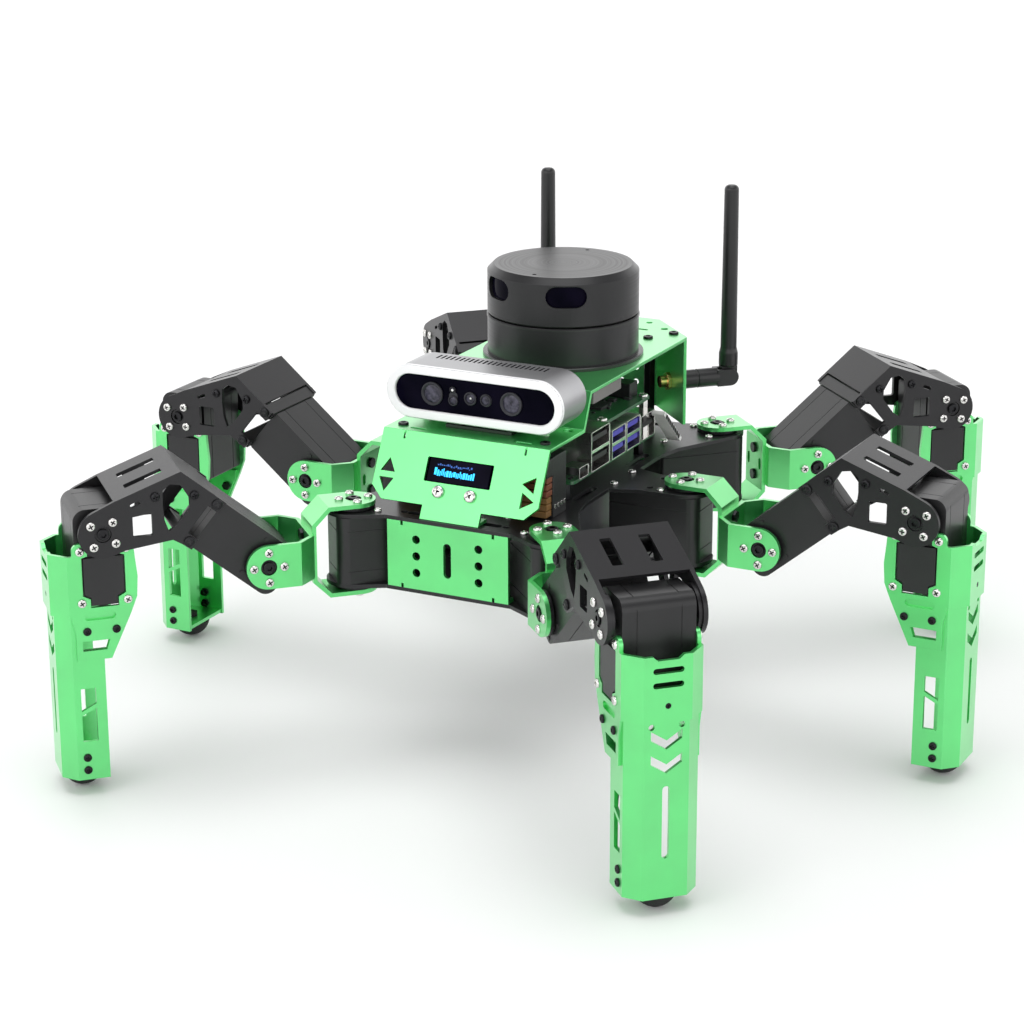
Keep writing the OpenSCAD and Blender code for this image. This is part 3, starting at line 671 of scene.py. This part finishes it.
def tibia_fasteners(leg, side, screws, bolts):
    for x, z in TAB_SCREWS_MM:
        spot = on_side(leg.knee, side, x, z, TAB_MM)
        pan_head(screws, spot @ turn("Z", 3 * x), 2.05, 1.35, 0.8)
    for x, z, depth in SHELL_BOLTS_MM:
        spot = on_side(leg.knee, side, x, z, depth)
        pan_head(bolts, spot @ turn("Z", 7 * x), 1.9, 1.1, 0.7)
        bolts.prism(circle(1.1), depth - LOW_SHELL_MM - 5, 0.3, spot)
        hex_nut(bolts, spot @ at(z=LOW_SHELL_MM - depth - NUT_DEPTH_MM), 2.3, 1.4, 1.1)


def front_bolt(leg, bolts):
    """Countersunk bolt in the front face of the shell."""
    front = leg.knee @ at(SHELL_FRONT_MM, 0, FRONT_BOLT_UP_MM) @ turn("Y", 90)
    bolts.rings([(circle(1.25), -4), (circle(1.25), -1.1), (circle(1.28), -0.25),
                 (circle(1.2), -0.05), (cross(0.8, 0.22), -0.05), (cross(0.5, 0.16), -0.6)],
                front)


def leg_details(name):
    """Screws, bolts and nuts of one leg, each on the body that it moves with."""
    leg = Leg(name)
    coxa, coxa_dark = Solid(), Solid()
    femur, femur_dark = Solid(), Solid()
    tibia, tibia_dark = Solid(), Solid()
    for side in (-1, 1):
        coxa_fasteners(leg, side, coxa, coxa_dark)
        femur_fasteners(leg, side, femur, femur_dark)
        tibia_fasteners(leg, side, tibia, tibia_dark)
    front_bolt(leg, tibia_dark)
    coxa.make(name + "_coxa_screws", STEEL, name + "_coxa")
    coxa_dark.make(name + "_coxa_bolts", BLACK_STEEL, name + "_coxa")
    femur.make(name + "_femur_screws", STEEL, name + "_femur")
    femur_dark.make(name + "_femur_bolts", BLACK_STEEL, name + "_femur")
    trimmed_shell(leg)
    tibia.make(name + "_tibia_screws", STEEL, name + "_tibia")
    tibia_dark.make(name + "_tibia_bolts", BLACK_STEEL, name + "_tibia")
    return leg


# ---------- chassis details ----------

PLATE_TOP_MM = 119.8
PLATE_LOW_MM = 84.2
LEDGE_MM = 155.2
DECK_MM = 171.8
MOUNT_TOP_MM = 158
PANEL_FRONT_MM = -79.6
PANEL_LEAN = 26.6
HIP_SCREWS_OUT_MM = (-8.6, -32.6)
HIP_SCREWS_LEFT_MM = (-10.3, 10.3)


def chassis_screws(legs):
    """Screws that hold the hip servos between the two plates."""
    silver = Solid()
    for leg in legs:
        hip = leg.hip.translation.z / MM
        for out in HIP_SCREWS_OUT_MM:
            for left in HIP_SCREWS_LEFT_MM:
                for side, height in ((1, PLATE_TOP_MM - hip), (-1, hip - PLATE_LOW_MM)):
                    place = on_level(leg.hip, side, out, left, height) @ turn("Z", 9 * left)
                    pan_head(silver, place, 1.9, 1.2, 0.7)
    silver.make("plate_screws", STEEL, "chassis")


PANEL = at(0, PANEL_FRONT_MM, LEDGE_MM) @ turn("X", 90 - PANEL_LEAN)


GLASS_FACE_MM = -0.3
BAR_FACE_MM = -0.22
PANEL_SCREWS_MM = ((-8.2, -26.2), (8.2, -26.2))


def bar_row(row, choice, span, gap, base, widths, rises, heights):
    """Plain bars side by side on the display's glass, each of a random size."""
    left, right = span
    while left < right:
        wide = choice.choice(widths)
        low = base + choice.choice(rises)
        high = low + choice.choice(heights)
        row.box((left, low, GLASS_FACE_MM), (left + wide, high, BAR_FACE_MM), PANEL)
        left += wide + gap


def display_details():
    """Glass, two large screws and two rows of plain glowing bars, on the leaning panel."""
    glass, silver = Solid(), Solid()
    glass.prism(rounded(31.2, 10.6, 0.5), -0.62, GLASS_FACE_MM, PANEL @ at(0, -16.2, 0))
    for x, y in PANEL_SCREWS_MM:
        pan_head(silver, PANEL @ at(x, y, 0) @ turn("Z", 18 + 2 * x), 3.0, 1.9, 1.0)
    glass.make("display_glass", WINDOW, "chassis", 0.1)
    silver.make("display_screws", STEEL, "chassis")
    bright, dim = Solid(), Solid()
    choice = random.Random(5)
    bar_row(bright, choice, (-12.4, 7.4), 0.35, -18.8, (0.5, 0.8, 1.2), (0, 0.4), (2.3, 2.8, 3.3))
    bar_row(dim, choice, (-11.4, 5.8), 0.4, -14.4, (0.35, 0.6, 0.75), (0, 0.5), (0.5, 0.9))
    bright.make("display_lower_row", GLYPH, "chassis")
    dim.make("display_upper_row", GLYPH_DIM, "chassis")


CAMERA_FRONT_MM = -71.8
CAMERA_UP_MM = 171.5
CAMERA_PLACE = at(0, CAMERA_FRONT_MM, CAMERA_UP_MM) @ turn("X", 90)


def stadium(width, height, steps=16):
    return rounded(width, height, height / 2 - 0.001, steps)


# across, up and radius of each lens and each bright spot, a painted highlight, seen from the front
LENSES_MM = ((-21.6, 0, 5.3), (18.9, 0, 5.3), (-1.9, 0, 2.9), (5.9, 0, 2.5),
             (-10.8, -2, 2.2), (-11, 3, 1.3))
GLINTS_MM = ((-11, 3, 0.6), (-1.6, 0.2, 0.45))


def camera_details():
    """Black window, rim and lenses; local z points out of the camera's front."""
    window, rim, barrels, glass = Solid(), Solid(), Solid(), Solid()
    window.prism(stadium(81.8, 16.8), -1.45, -1.1, CAMERA_PLACE)
    outer, inner = stadium(90.3, 25.3), stadium(81.6, 16.6)
    crest, lip = stadium(89.1, 24.1), stadium(82.4, 17.4)
    ring = [(outer, -1.6), (outer, -0.3), (crest, 0.35), (lip, 0.35), (inner, -0.2),
            (inner, -1.3)]
    rim.band(ring, CAMERA_PLACE)
    for x, y, radius in LENSES_MM:
        place = CAMERA_PLACE @ at(x, y, 0.35)
        barrels.rings([(circle(radius + 0.2, 40), -1.4), (circle(radius + 0.2, 40), -0.5),
                       (circle(radius, 40), -0.35), (circle(radius * 0.9, 40), -0.35),
                       (circle(radius * 0.84, 40), -0.7), (circle(radius * 0.8, 40), -0.7),
                       (circle(radius * 0.78, 40), -1.0)], place)
        dome = [(circle(radius * 0.78 * math.cos(math.radians(rise)), 40),
                 -1.0 + 0.5 * math.sin(math.radians(rise))) for rise in (0, 20, 40, 60, 75, 86)]
        glass.rings(dome, place)
    window.make("camera_window", WINDOW, "chassis", 0.1)
    rim.make("camera_rim", CAMERA_RIM, "chassis")
    barrels.make("camera_barrels", BARREL, "chassis")
    glass.make("camera_lenses", LENS, "chassis")
    # small white discs on the lenses: painted highlights
    glints = Solid()
    for x, y, radius in GLINTS_MM:
        glints.rings([(circle(radius), -0.7), (circle(radius), -0.12),
                      (circle(radius * 0.6), -0.05)], CAMERA_PLACE @ at(x, y, 0))
    glints.make("camera_glints", WHITE_PLASTIC, "chassis")


def deck_screws():
    silver = Solid()
    for x, y, z in ((13, -60, MOUNT_TOP_MM), (-13, -60, MOUNT_TOP_MM),
                    (29.5, -57.5, LEDGE_MM), (-29.5, -57.5, LEDGE_MM)):
        pan_head(silver, at(x, y, z), 1.9, 1.2, 0.7)
    silver.make("ledge_screws", STEEL, "chassis")
    black = Solid()
    for side in (-1, 1):
        for x, y, z in ((36.5, -72, LEDGE_MM), (26, 64, DECK_MM), (34, 77, DECK_MM)):
            socket_head(black, at(side * x, y, z), 2.5, 1.1)
    black.make("deck_heads", BLACK_STEEL, "chassis")


# radius of the lidar's glass, seam ring and flange, and the levels of the first two
DRUM_MM, DRUM_LOW_MM, DRUM_HIGH_MM = 34.7, 202.1, 212.3
SEAM_MM, SEAM_LOW_MM, SEAM_HIGH_MM = 36.75, 190.8, 191.6
FLANGE_MM = 38.75
LIDAR_NUTS_MM = (-24, 24)


def lidar_details():
    """Smoked glass drum behind the oval openings, the seam's ring, the flange and its nuts."""
    def wide(radius):
        return circle(radius, 72)

    middle = at(LIDAR_CENTRE.x / MM, LIDAR_CENTRE.y / MM, 0)
    drum = Solid()
    drum.prism(wide(DRUM_MM), DRUM_LOW_MM, DRUM_HIGH_MM, middle)
    drum.make("lidar_glass", WINDOW, "lidar_rotor")
    seam = Solid()
    seam.rings([(wide(35.6), 190.6), (wide(SEAM_MM), SEAM_LOW_MM), (wide(SEAM_MM), SEAM_HIGH_MM),
                (wide(35.6), 191.8)], middle)
    seam.make("lidar_seam", LIDAR_FOOT, "chassis")
    flange = Solid()
    flange.rings([(wide(FLANGE_MM), DECK_MM + 0.05), (wide(FLANGE_MM), DECK_MM + 1.3),
                  (wide(38.3), DECK_MM + 1.7), (wide(36.2), DECK_MM + 1.8)], middle)
    flange.make("lidar_flange", LIDAR_FOOT, "chassis")
    nuts = Solid()
    for x in LIDAR_NUTS_MM:
        for y in LIDAR_NUTS_MM:
            hex_nut(nuts, middle @ at(x, y, 170.2) @ turn("X", 180), 2.4, 1.6, 1.0)
    nuts.make("lidar_nuts", STEEL, "chassis")


# ---------- the computer board ----------

BOARD_LOW_MM = 128.4
BOARD_TOP_MM = 130.0
UPPER_LOW_MM = 147.0
UPPER_TOP_MM = 148.5
HEADER_TOP_MM = 138.5
HERE = Matrix.Identity(4)


def socket_stack(shell, tongues, low, high, cells=2, wall=0.45, lip=0.35):
    """Metal shell open towards +x, with one tongue in each of its stacked openings."""
    (x0, y0, z0), (x1, y1, z1) = low, high
    inside = x0 + 3
    shell.box((x0, y0, z0), (x1, y0 + wall, z1), HERE)
    shell.box((x0, y1 - wall, z0), (x1, y1, z1), HERE)
    shell.box((x0, y0 + wall, z1 - wall), (x1, y1 - wall, z1), HERE)
    shell.box((x0, y0 + wall, z0), (x1, y1 - wall, z0 + wall), HERE)
    shell.box((x0, y0 + wall, z0 + wall), (inside, y1 - wall, z1 - wall), HERE)
    tall = (z1 - z0) / cells
    for i in range(1, cells):
        level = z0 + i * tall
        shell.box((inside, y0 + wall, level - 0.8), (x1 - 0.1, y1 - wall, level + 0.8), HERE)
    for y in (y0 - lip, y1):
        shell.box((x1 - 0.9, y, z0 + 0.6), (x1 + 0.1, y + lip, z1 - 0.6), HERE)
    for i in range(cells):
        middle = z0 + (i + 0.5) * tall
        tongues.box((inside, y0 + 1.4, middle - 0.3), (x1 - 0.8, y1 - 1.4, middle + 2.1), HERE)


def board_sheets():
    board = Solid()
    board.prism(rounded(76, 94, 3), BOARD_LOW_MM, BOARD_TOP_MM, at(0, 1, 0))
    board.prism(rounded(72, 54, 2.5), UPPER_LOW_MM, UPPER_TOP_MM, at(0, 19, 0))
    board.make("board_sheets", BOARD, "chassis", 0.12)


def ports():
    """Sockets along the left edge. Their shells stand for the plain CAD board."""
    shell, blue, black = Solid(), Solid(), Solid()
    socket_stack(shell, black, (22.5, -29.2, BOARD_TOP_MM), (39.5, -9.4, 149.4))
    socket_stack(shell, blue, (24.5, -6.6, BOARD_TOP_MM), (39.6, 8.8, 144.6))
    socket_stack(shell, blue, (24.5, 10.2, BOARD_TOP_MM), (39.6, 25.4, 144.6))
    socket_stack(shell, black, (21.5, 27.4, BOARD_TOP_MM), (39.2, 43.4, 142.4), cells=1)
    socket_stack(shell, black, (30.5, -41.5, BOARD_TOP_MM), (39.2, -32, 135.6), cells=1)
    shells = shell.make("port_shells", STEEL, "chassis", 0.08)
    blue.make("port_tongues_blue", USB_BLUE, "chassis", 0.1)
    black.make("port_tongues_black", PLASTIC, "chassis", 0.1)
    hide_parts("computer_board")


def headers():
    plastic = Solid()
    plastic.box((-37, -30, BOARD_TOP_MM), (-27, 30, HEADER_TOP_MM), HERE)
    plastic.box((-12, -44, BOARD_TOP_MM), (8, -36, 136), HERE)
    plastic.box((12, 34, UPPER_TOP_MM), (30, 43, 156), HERE)
    plastic.box((-30, 30, UPPER_TOP_MM), (-8, 42, 154), HERE)
    plastic.box((-36, -8, 134), (-33, 46, 147), HERE)
    plastic.make("board_headers", PLASTIC, "chassis", 0.25)


def pins_and_spacers():
    pins = Solid()
    for i in range(20):
        for x in (-34.6, -32.1, -29.6):
            pins.prism(circle(0.35, 8), 0, 3.4, at(x, -27.6 + i * 2.9, HEADER_TOP_MM))
    for x, y in ((-34, -42), (34, 44.5), (-34, 44.5), (14, -42.5)):
        pan_head(pins, at(x, y, BOARD_TOP_MM), 2.4, 1.5, 0.8)
    for x, y in ((-33, -5), (33.5, -5), (33.5, 42), (-33, 42)):
        pan_head(pins, at(x, y, UPPER_TOP_MM), 2.4, 1.5, 0.8)
        pins.prism(hexagon(2.4), BOARD_TOP_MM, UPPER_LOW_MM, at(x, y, 0))
    pins.make("board_pins", STEEL, "chassis")


def chips():
    """A few large chips and many small ones, scattered over both boards."""
    solid = Solid()
    choice = random.Random(11)
    solid.box((-9, 6, UPPER_TOP_MM), (9, 24, 150.1), HERE)
    solid.box((14, 10, UPPER_TOP_MM), (26, 22, 149.7), HERE)
    solid.box((-20, -40, BOARD_TOP_MM), (-8, -29, 131.2), HERE)
    for i in range(46):
        x, y = choice.uniform(-26, 28), choice.uniform(-6, 44)
        wide, deep = choice.choice(((1.6, 0.9), (0.9, 1.6), (2.6, 1.8), (3.4, 3.4)))
        if not (-12 < x < 12 and 3 < y < 27):
            high = UPPER_TOP_MM + choice.uniform(0.6, 1.4)
            solid.box((x, y, UPPER_TOP_MM), (x + wide, y + deep, high), HERE)
    for i in range(40):
        x, y = choice.uniform(-24, 34), choice.uniform(-44, -30)
        solid.box((x, y, BOARD_TOP_MM), (x + 1.5, y + 0.9, BOARD_TOP_MM + 0.8), HERE)
    solid.make("board_chips", CHIP, "chassis", 0.08)


def capacitors():
    cans = Solid()
    for x, y, base, radius, tall in ((18, -38, BOARD_TOP_MM, 3.2, 7),
                                     (25.5, -38, BOARD_TOP_MM, 3.2, 7),
                                     (-28, 38, UPPER_TOP_MM, 2.6, 6),
                                     (20, -2, UPPER_TOP_MM, 2.6, 6)):
        cans.rings([(circle(radius), 0), (circle(radius), 0.9), (circle(radius * 0.9), 1.2),
                    (circle(radius), 1.5), (circle(radius), tall - 0.3),
                    (circle(radius * 0.9), tall)], at(x, y, base))
    cans.make("capacitors", CAMERA, "chassis")


def cooling_fan():
    fan = Solid()
    hub = at(0, 15, 150.1)
    low, high = 2.6, 9.6
    outline, hole = rounded(30, 30, 2.5, 9), circle(13.6, 40)
    fan.band([(outline, low), (outline, high), (hole, high), (hole, low)], hub)
    fan.rings([(circle(5.4), low), (circle(5.4), 8.6), (circle(4.8), 9.2)], hub)
    for i in range(7):
        blade = hub @ turn("Z", 360 * i / 7) @ at(4.6, 0, 5.8) @ turn("X", 34)
        fan.prism([(0, -2.6), (8.4, -3.8), (8.6, 3.6), (0, 2.4)], -0.35, 0.35, blade)
    fan.make("fan", PLASTIC, "chassis", 0.12)


def heat_sink():
    sink = Solid()
    sink.box((-13, 2, 149.9), (13, 28, 151.2), HERE)
    for i in range(8):
        sink.box((-13 + i * 3.5, 2, 151.2), (-11.6 + i * 3.5, 28, 152.7), HERE)
    sink.make("heat_sink", BARREL, "chassis", 0.1)


def hanging_module():
    """Plain grey box under the deck."""
    box = Solid()
    box.box((9, -20, 160.4), (36, 11, 170.15), HERE)
    box.make("hanging_module", GREY, "chassis", 0.5)


def computer_board():
    board_sheets()
    ports()
    headers()
    pins_and_spacers()
    chips()
    capacitors()
    cooling_fan()
    heat_sink()
    hanging_module()


def side_modules():
    """The two motor drivers beside the display panel, with copper and ochre stacks."""
    case, copper, ochre, silver = Solid(), Solid(), Solid(), Solid()
    front, middle, rear = -76.6, -70, -56.2
    for s, tall in ((1, 28.8), (-1, 23.8)):
        x0, x1 = (18.2, 39.4) if s > 0 else (-39.4, -18.2)
        top = PLATE_TOP_MM + tall
        case.box((x0, middle, PLATE_TOP_MM), (x1, rear, top), HERE)
        case.box((x0, front, PLATE_TOP_MM + 20.6), (x1 + 0.4 * s, middle, top), HERE)
        for i in range(3):
            low = PLATE_TOP_MM + 11.2 + 3.1 * i
            copper.box((x0 + 0.4, -75.8 + 0.2 * i, low), (x1 - 0.4, middle, low + 2.6), HERE)
        for i in range(3):
            low = PLATE_TOP_MM + 1.2 + 3.2 * i
            ochre.box((x0 + 0.8, -75.4 + 0.3 * i, low), (x1 - 0.8, middle, low + 2.9), HERE)
        side = 39.4 if s > 0 else -39.8
        for i in range(4):
            y = -69 + 3.2 * i
            silver.box((side, y, PLATE_TOP_MM + 4), (side + 0.4, y + 1.8, PLATE_TOP_MM + 6.2), HERE)
    case.make("driver_cases", PLASTIC, "chassis", 0.35)
    copper.make("driver_copper", COPPER, "chassis", 0.25)
    ochre.make("driver_ochre", OCHRE, "chassis", 0.25)
    silver.make("driver_contacts", STEEL, "chassis", 0.08)


def ribbed_sleeve():
    """Pale rigid sleeve that slopes down beside the ports, rib by rib."""
    ribs = Solid()
    for i in range(9):
        low = at(41.6, 44 + 2.1 * i, 139.6 - 1.9 * i) @ turn("X", -42)
        ribs.prism(rounded(5.4, 2.3, 0.8, 3), -3.4, 3.4, low @ turn("Y", 90) @ turn("Z", 90))
    ribs.make("ribbed_sleeve", WHITE_PLASTIC, "chassis")


dress_nodes()
chassis_screws([leg_details(name) for name in LEGS])
display_details()
camera_details()
deck_screws()
lidar_details()
computer_board()
side_modules()
ribbed_sleeve()


# ---------- floor, light and camera ----------

FLOOR_WIDTH = 12


def pale_floor():
    made = Shader("pale_floor", Roughness=0.6)
    cloud = made.noise(1.5, 2)
    made.colour(made.ramp(cloud, (0.3, 0.86), (0.7, 0.9)))
    mesh = bpy.data.meshes.new("floor")
    half = FLOOR_WIDTH / 2
    mesh.from_pydata([(-half, -half, 0), (half, -half, 0), (half, half, 0), (-half, half, 0)],
                     [], [(0, 1, 2, 3)])
    mesh.materials.append(made.material)
    floor = bpy.data.objects.new("floor", mesh)
    bpy.context.scene.collection.objects.link(floor)


def area_light(name, place, target, size, power):
    light = bpy.data.lights.new(name, "AREA")
    light.shape = "RECTANGLE"
    light.size, light.size_y = size
    light.energy = power
    lamp = bpy.data.objects.new(name, light)
    lamp.location = place
    lamp.rotation_euler = (Vector(target) - Vector(place)).to_track_quat("-Z", "Y").to_euler()
    bpy.context.scene.collection.objects.link(lamp)


def white_walls():
    """White light from all sides and from below, dimmer from above."""
    world = bpy.data.worlds.new("studio")
    world.use_nodes = True
    tree = world.node_tree
    place = tree.nodes.new("ShaderNodeTexCoord")
    height = tree.nodes.new("ShaderNodeSeparateXYZ")
    ramp = tree.nodes.new("ShaderNodeValToRGB")
    ramp.color_ramp.interpolation = "EASE"
    ramp.color_ramp.elements[0].position = 0.38
    ramp.color_ramp.elements[0].color = (1, 1, 1, 1)
    ramp.color_ramp.elements[1].position = 0.68
    ramp.color_ramp.elements[1].color = (0.3, 0.3, 0.305, 1)
    tree.links.new(place.outputs["Generated"], height.inputs[0])
    tree.links.new(height.outputs["Z"], ramp.inputs["Fac"])
    tree.links.new(ramp.outputs["Color"], tree.nodes["Background"].inputs["Color"])
    tree.nodes["Background"].inputs["Strength"].default_value = 1.6
    bpy.context.scene.world = world


def overhead_sun(strength, spread_degrees):
    sun = bpy.data.lights.new("overhead", "SUN")
    sun.energy = strength
    sun.angle = math.radians(spread_degrees)
    overhead = bpy.data.objects.new("overhead", sun)
    bpy.context.scene.collection.objects.link(overhead)


# the camera's place round the robot, and the small turn that centres and levels the view
AZIMUTH, ELEVATION = math.radians(26.17), math.radians(17.86)
DISTANCE = 1.3618
TARGET = Vector((0, 0, 0.1004))
AIM = Euler((math.radians(-0.145), math.radians(0.635), 0))
FOCAL_LENGTH_MM = 98.9


def camera():
    back = Vector((math.sin(AZIMUTH) * math.cos(ELEVATION),
                   -math.cos(AZIMUTH) * math.cos(ELEVATION), math.sin(ELEVATION)))
    data = bpy.data.cameras.new("camera")
    data.sensor_width = 36
    data.lens = FOCAL_LENGTH_MM
    shown = bpy.data.objects.new("camera", data)
    shown.location = TARGET + back * DISTANCE
    aim = AIM.to_quaternion()
    shown.rotation_mode = "QUATERNION"
    shown.rotation_quaternion = (-back).to_track_quat("-Z", "Y") @ aim
    bpy.context.scene.collection.objects.link(shown)
    bpy.context.scene.camera = shown


pale_floor()
white_walls()
overhead_sun(strength=1.3, spread_degrees=50)
area_light("key", (-0.5, -1.7, 1.2), (0, 0, 0.12), (1.1, 0.8), 5)
bpy.context.scene.view_settings.view_transform = "Standard"
camera()
